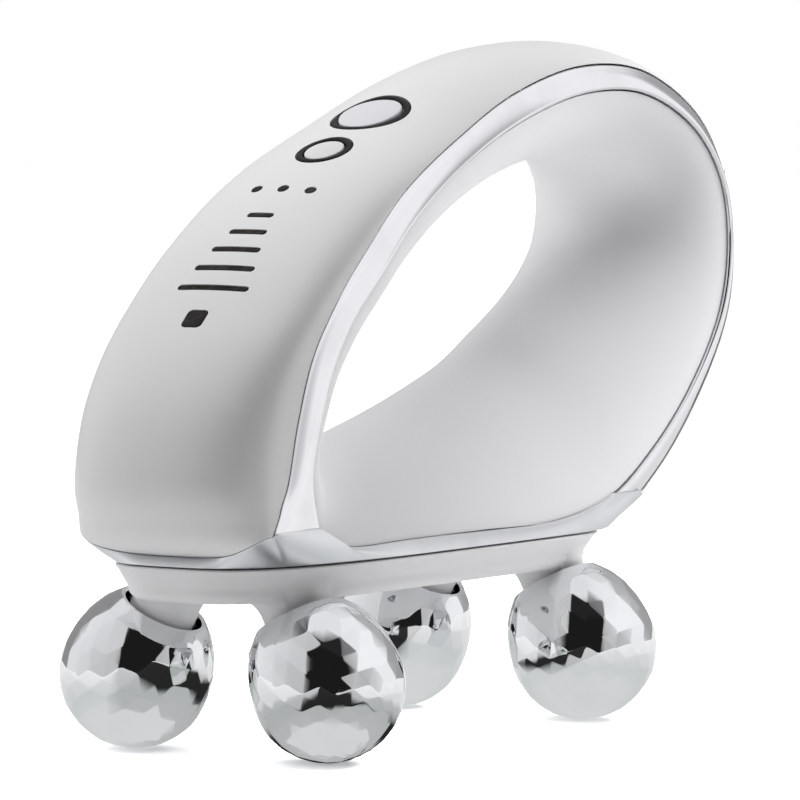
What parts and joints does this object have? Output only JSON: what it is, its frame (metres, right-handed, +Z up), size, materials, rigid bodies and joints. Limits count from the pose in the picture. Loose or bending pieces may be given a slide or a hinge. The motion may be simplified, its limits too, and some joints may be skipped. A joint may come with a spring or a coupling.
{
  "type": "ultrasonic slimming device",
  "caption": "Handheld body massager: a white ring-shaped grip with a finger loop, a panel of buttons and lights, bright side trims, and splayed faceted rollers under a shallow base.",
  "frame": {"origin": "on the floor, under the middle of the body, between the left and right rollers", "axes": "+Z up; -X towards the front, where the control panel slopes down; +Y to the device's left side"},
  "size_m": [0.1718, 0.0668, 0.1229],
  "materials": {
    "white_shell": "smooth, semi-gloss",
    "satin_liner": "satin",
    "bright_chrome": "polished plating",
    "dark_plastic": "satin",
    "pale_cap": "satin",
    "lamp_tint": "tinted window",
    "hub_resin": "moulded",
    "bush_resin": "self-lubricating resin",
    "steel": "ground",
    "circuit_board": "solder mask",
    "cell_wrap": "shrink wrap",
    "ceramic": "fired ceramic"
  },
  "bodies": {
    "body": {"front_cover": "white_shell", "rear_cover": "white_shell", "inner_liner": "satin_liner", "side_trim_left": "bright_chrome", "side_trim_right": "bright_chrome", "base_bezel": "bright_chrome", "base_pan": "white_shell", "axle_front_left": "steel", "axle_front_right": "steel", "axle_rear_left": "steel", "axle_rear_right": "steel", "axle_clip_front_left": "steel", "axle_clip_front_right": "steel", "axle_clip_rear_left": "steel", "axle_clip_rear_right": "steel", "button_board": "circuit_board", "lamp_board": "circuit_board", "driver_board": "circuit_board", "power_button_ring": "dark_plastic", "power_button_switch": "dark_plastic", "mode_button_ring": "dark_plastic", "mode_button_switch": "dark_plastic", "light_dot_1": "lamp_tint", "light_dot_2": "lamp_tint", "light_dot_3": "lamp_tint", "light_bar_1": "lamp_tint", "light_bar_2": "lamp_tint", "light_bar_3": "lamp_tint", "light_bar_4": "lamp_tint", "light_bar_5": "lamp_tint", "light_lamp": "lamp_tint", "battery": "cell_wrap", "transducer": "ceramic", "pan_screw_front_left": "steel", "pan_screw_front_right": "steel", "pan_screw_rear_left": "steel", "pan_screw_rear_right": "steel", "charge_jack": "dark_plastic"},
    "roller_front_left": {"roller_front_left_shell": "bright_chrome", "roller_front_left_hub": "hub_resin", "roller_front_left_bush": "bush_resin"},
    "roller_front_right": {"roller_front_right_shell": "bright_chrome", "roller_front_right_hub": "hub_resin", "roller_front_right_bush": "bush_resin"},
    "roller_rear_left": {"roller_rear_left_shell": "bright_chrome", "roller_rear_left_hub": "hub_resin", "roller_rear_left_bush": "bush_resin"},
    "roller_rear_right": {"roller_rear_right_shell": "bright_chrome", "roller_rear_right_hub": "hub_resin", "roller_rear_right_bush": "bush_resin"},
    "power_button": {"power_button_cap": "pale_cap"},
    "mode_button": {"mode_button_cap": "pale_cap"}
  },
  "joints": [
    {"name": "roller_front_left_spin", "type": "hinge", "parent": "body", "child": "roller_front_left", "pos_m": [-0.05878, 0.02042, 0.013], "axis": [0, -0.4695, 0.8829], "continuous": true},
    {"name": "roller_front_right_spin", "type": "hinge", "parent": "body", "child": "roller_front_right", "pos_m": [-0.05878, -0.02042, 0.013], "axis": [0, 0.4695, 0.8829], "continuous": true},
    {"name": "roller_rear_left_spin", "type": "hinge", "parent": "body", "child": "roller_rear_left", "pos_m": [0.02402, 0.02042, 0.013], "axis": [0, -0.4695, 0.8829], "continuous": true},
    {"name": "roller_rear_right_spin", "type": "hinge", "parent": "body", "child": "roller_rear_right", "pos_m": [0.02402, -0.02042, 0.013], "axis": [0, 0.4695, 0.8829], "continuous": true},
    {"name": "power_button_press", "type": "slide", "parent": "body", "child": "power_button", "axis": [0.4023, 0, -0.9155], "range_m": [0, 0.0004], "stiffness_N_per_m": 1500},
    {"name": "mode_button_press", "type": "slide", "parent": "body", "child": "mode_button", "axis": [0.4104, 0, -0.9119], "range_m": [0, 0.0004], "stiffness_N_per_m": 1500}
  ]
}
